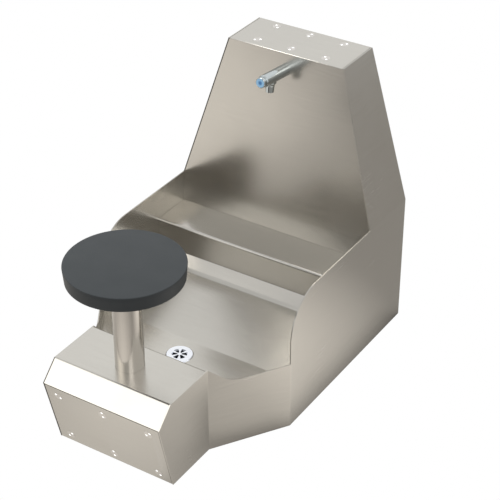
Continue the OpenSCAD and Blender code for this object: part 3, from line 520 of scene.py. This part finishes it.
def add_floor():
    """A floor that is plain white to the camera. Reflections see its pools of light."""
    mesh = bpy.data.meshes.new("floor")
    half = FLOOR_HALF
    mesh.from_pydata(
        [(-half, -half, 0), (half, -half, 0), (half, half, 0), (-half, half, 0)],
        [],
        [(0, 1, 2, 3)],
    )
    floor = bpy.data.objects.new("floor", mesh)
    scene.collection.objects.link(floor)
    floor.location.z = cad_box[0][2] - FLOOR_DROP
    pale = Shader("floor", Base_Color=(0.8, 0.8, 0.79, 1.0), Roughness=0.9)
    split = pale.node("SeparateXYZ")
    pale.join(pale.coordinates, split.inputs[0])
    ahead = pale.measured("DISTANCE", FRONT_POOL_AT)
    left_pool = pale.times(
        pale.span(pale.measured("DOT_PRODUCT", LEFT_POOL_SIDE), 0.0, LEFT_POOL, *LEFT_POOL_SPAN),
        pale.times(
            pale.span(split.outputs["Y"], 1.0, 0.0, *LEFT_POOL_FADE),
            pale.span(ahead, 0.0, 1.0, *LEFT_POOL_START),
        ),
    )
    away = pale.measured("DISTANCE", RIGHT_POOL_AT)
    right_pool = pale.span(away, RIGHT_POOL, FLOOR_GLOW, 0.0, RIGHT_POOL_REACH)
    front_pool = pale.span(ahead, FRONT_POOL, 0.0, 0.0, FRONT_POOL_REACH)
    contact = pale.node("AmbientOcclusion", samples=6)
    contact.inputs["Distance"].default_value = FLOOR_SHADE_REACH
    right_side = pale.span(split.outputs["X"], 0.0, 1.0, *FLOOR_SHADE_FROM)
    rest = pale.span(split.outputs["X"], 1.0, 0.0, *FLOOR_SHADE_FROM)
    shade = pale.add(pale.times(contact.outputs["AO"], right_side), rest)
    pools = pale.add(front_pool, pale.add(left_pool, right_pool))
    glow = pale.node("Emission")
    glow.inputs["Color"].default_value = (*FLOOR_TINT, 1.0)
    pale.join(pale.times(pools, shade), glow.inputs["Strength"])
    seen = pale.node("Emission")
    blend = pale.node("MixShader")
    pale.join(pale.node("LightPath").outputs["Is Camera Ray"], blend.inputs[0])
    pale.join(glow.outputs[0], blend.inputs[1])
    pale.join(seen.outputs[0], blend.inputs[2])
    pale.join(blend.outputs[0], pale.tree.nodes["Material Output"].inputs["Surface"])
    mesh.materials.append(pale.material)


# Sky glow, as (start, end, low, high) along an axis of the view's direction
SKY_TINT = (0.98, 0.985, 0.98)
SKY_RISE = (-0.1, 0.54, 0.55, 1.11)
SKY_FALL = (0.65, 0.9, 0.0, -0.44)
SKY_FRONT = (-0.2, -0.6, 0.05, -0.17)


def add_world():
    """White to the camera. Reflections see a glow that is brightest at half height."""
    world = bpy.data.worlds.new("studio")
    scene.world = world
    world.use_nodes = True
    tree = world.node_tree

    def node(kind):
        return tree.nodes.new("ShaderNode" + kind)

    glow = tree.nodes["Background"]
    glow.inputs["Color"].default_value = (*SKY_TINT, 1.0)
    split = node("SeparateXYZ")
    tree.links.new(node("TexCoord").outputs["Generated"], split.inputs[0])
    slopes = []
    for axis, ends in (("Z", SKY_RISE), ("Z", SKY_FALL), ("Y", SKY_FRONT)):
        slope = node("MapRange")
        set_range(slope, *ends)
        tree.links.new(split.outputs[axis], slope.inputs["Value"])
        slopes.append(slope.outputs["Result"])
    total = slopes[0]
    for slope in slopes[1:]:
        joined = node("Math")
        tree.links.new(total, joined.inputs[0])
        tree.links.new(slope, joined.inputs[1])
        total = joined.outputs[0]
    tree.links.new(total, glow.inputs["Strength"])
    white = node("Background")
    white.inputs["Color"].default_value = (1.0, 1.0, 1.0, 1.0)
    mixed = node("MixShader")
    tree.links.new(node("LightPath").outputs["Is Camera Ray"], mixed.inputs[0])
    tree.links.new(glow.outputs[0], mixed.inputs[1])
    tree.links.new(white.outputs[0], mixed.inputs[2])
    tree.links.new(mixed.outputs[0], tree.nodes["World Output"].inputs["Surface"])


def add_area(name, place, target, size, power, tint, spread):
    light = bpy.data.objects.new(name, bpy.data.lights.new(name, "AREA"))
    light.data.shape = "RECTANGLE"
    light.data.size, light.data.size_y = size
    light.data.energy = power
    light.data.color = tint
    light.data.spread = spread
    light.location = place
    light.visible_camera = False
    look_at(light, Vector(target))
    scene.collection.objects.link(light)


GRID_SPREAD = math.radians(60)
OPEN_SPREAD = math.pi
EDGE_LIGHT_OFFSET = Vector((-0.16, -0.14, 0.28))

top_low, top_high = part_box("top_access_panel")
top_front = Vector(((top_low.x + top_high.x) / 2, top_low.y, top_high.z))

LIGHTS = {
    "key": {
        "place": (-0.455, -0.97, 0.767),
        "target": (-0.03, -0.47, 0.232),
        "size": (0.9, 0.5),
        "power": 0.22,
        "tint": (1.0, 0.98, 0.93),
        "spread": GRID_SPREAD,
    },
    "edge": {
        "place": top_front + EDGE_LIGHT_OFFSET,
        "target": top_front,
        "size": (0.55, 0.12),
        "power": 0.13,
        "tint": (1.0, 0.98, 0.94),
        "spread": GRID_SPREAD,
    },
    "front_top": {
        "place": (1.45, -1.85, 2.62),
        "target": (-0.3, 0.0, 0.3),
        "size": (1.2, 1.2),
        "power": 11.0,
        "tint": (0.98, 0.985, 1.0),
        "spread": OPEN_SPREAD,
    },
}

add_camera()
add_floor()
add_world()
for light_name, values in LIGHTS.items():
    add_area(light_name, **values)
